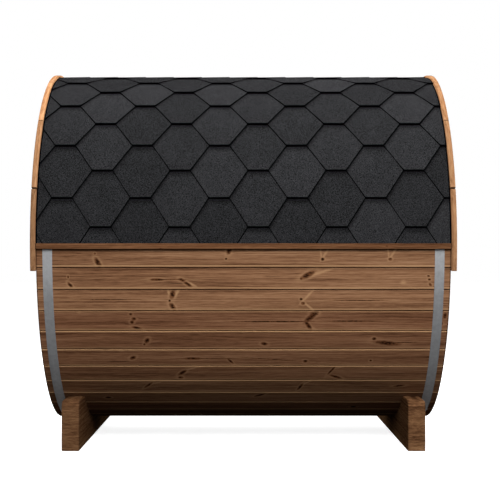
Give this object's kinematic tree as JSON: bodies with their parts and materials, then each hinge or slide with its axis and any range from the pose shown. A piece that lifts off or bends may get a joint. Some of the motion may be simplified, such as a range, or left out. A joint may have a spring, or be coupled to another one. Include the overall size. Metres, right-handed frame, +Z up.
{
  "type": "barrel sauna",
  "caption": "Barrel sauna: a horizontal barrel of timber staves on cradles, with steel bands, shingle roofing over its upper half and a plank door.",
  "frame": {"origin": "on the ground under the middle of the barrel", "axes": "+X along the barrel towards the door end, +Z up"},
  "size_m": [2.206, 2.0498, 2.121],
  "materials": {
    "stave_wood": "matte",
    "wall_wood": "matte",
    "trim_wood": "matte",
    "cradle_wood": "matte",
    "shingle": "matte",
    "band_steel": "satin",
    "fastener_steel": "satin"
  },
  "bodies": {
    "root": {"back_wall": "wall_wood", "band_back_end": "band_steel", "band_bolts": "fastener_steel", "band_door_end": "band_steel", "cradle_back_end": "cradle_wood", "cradle_door_end": "cradle_wood", "door_frame_posts": "trim_wood", "door_frame_rails": "trim_wood", "door_hinges": "fastener_steel", "door_leaf": "wall_wood", "door_ledges": "wall_wood", "door_pulls": "trim_wood", "door_wall_far_doorway": "wall_wood", "door_wall_near_doorway": "wall_wood", "door_wall_over_doorway": "wall_wood", "door_wall_under_doorway": "wall_wood", "eave_lath_far": "trim_wood", "eave_lath_near": "trim_wood", "gable_trim_back_end_far": "trim_wood", "gable_trim_back_end_near": "trim_wood", "gable_trim_door_end_far": "trim_wood", "gable_trim_door_end_near": "trim_wood", "ridge_cap": "shingle", "roofing_lower_far": "shingle", "roofing_lower_near": "shingle", "roofing_middle_far": "shingle", "roofing_middle_near": "shingle", "roofing_upper_far": "shingle", "roofing_upper_near": "shingle", "staves_bottom_even": "stave_wood", "staves_bottom_odd": "stave_wood", "staves_lower_far_even": "stave_wood", "staves_lower_far_odd": "stave_wood", "staves_lower_near_even": "stave_wood", "staves_lower_near_odd": "stave_wood", "staves_top_even": "stave_wood", "staves_top_odd": "stave_wood", "staves_upper_far_even": "stave_wood", "staves_upper_far_odd": "stave_wood", "staves_upper_near_even": "stave_wood", "staves_upper_near_odd": "stave_wood"}
  },
  "joints": []
}
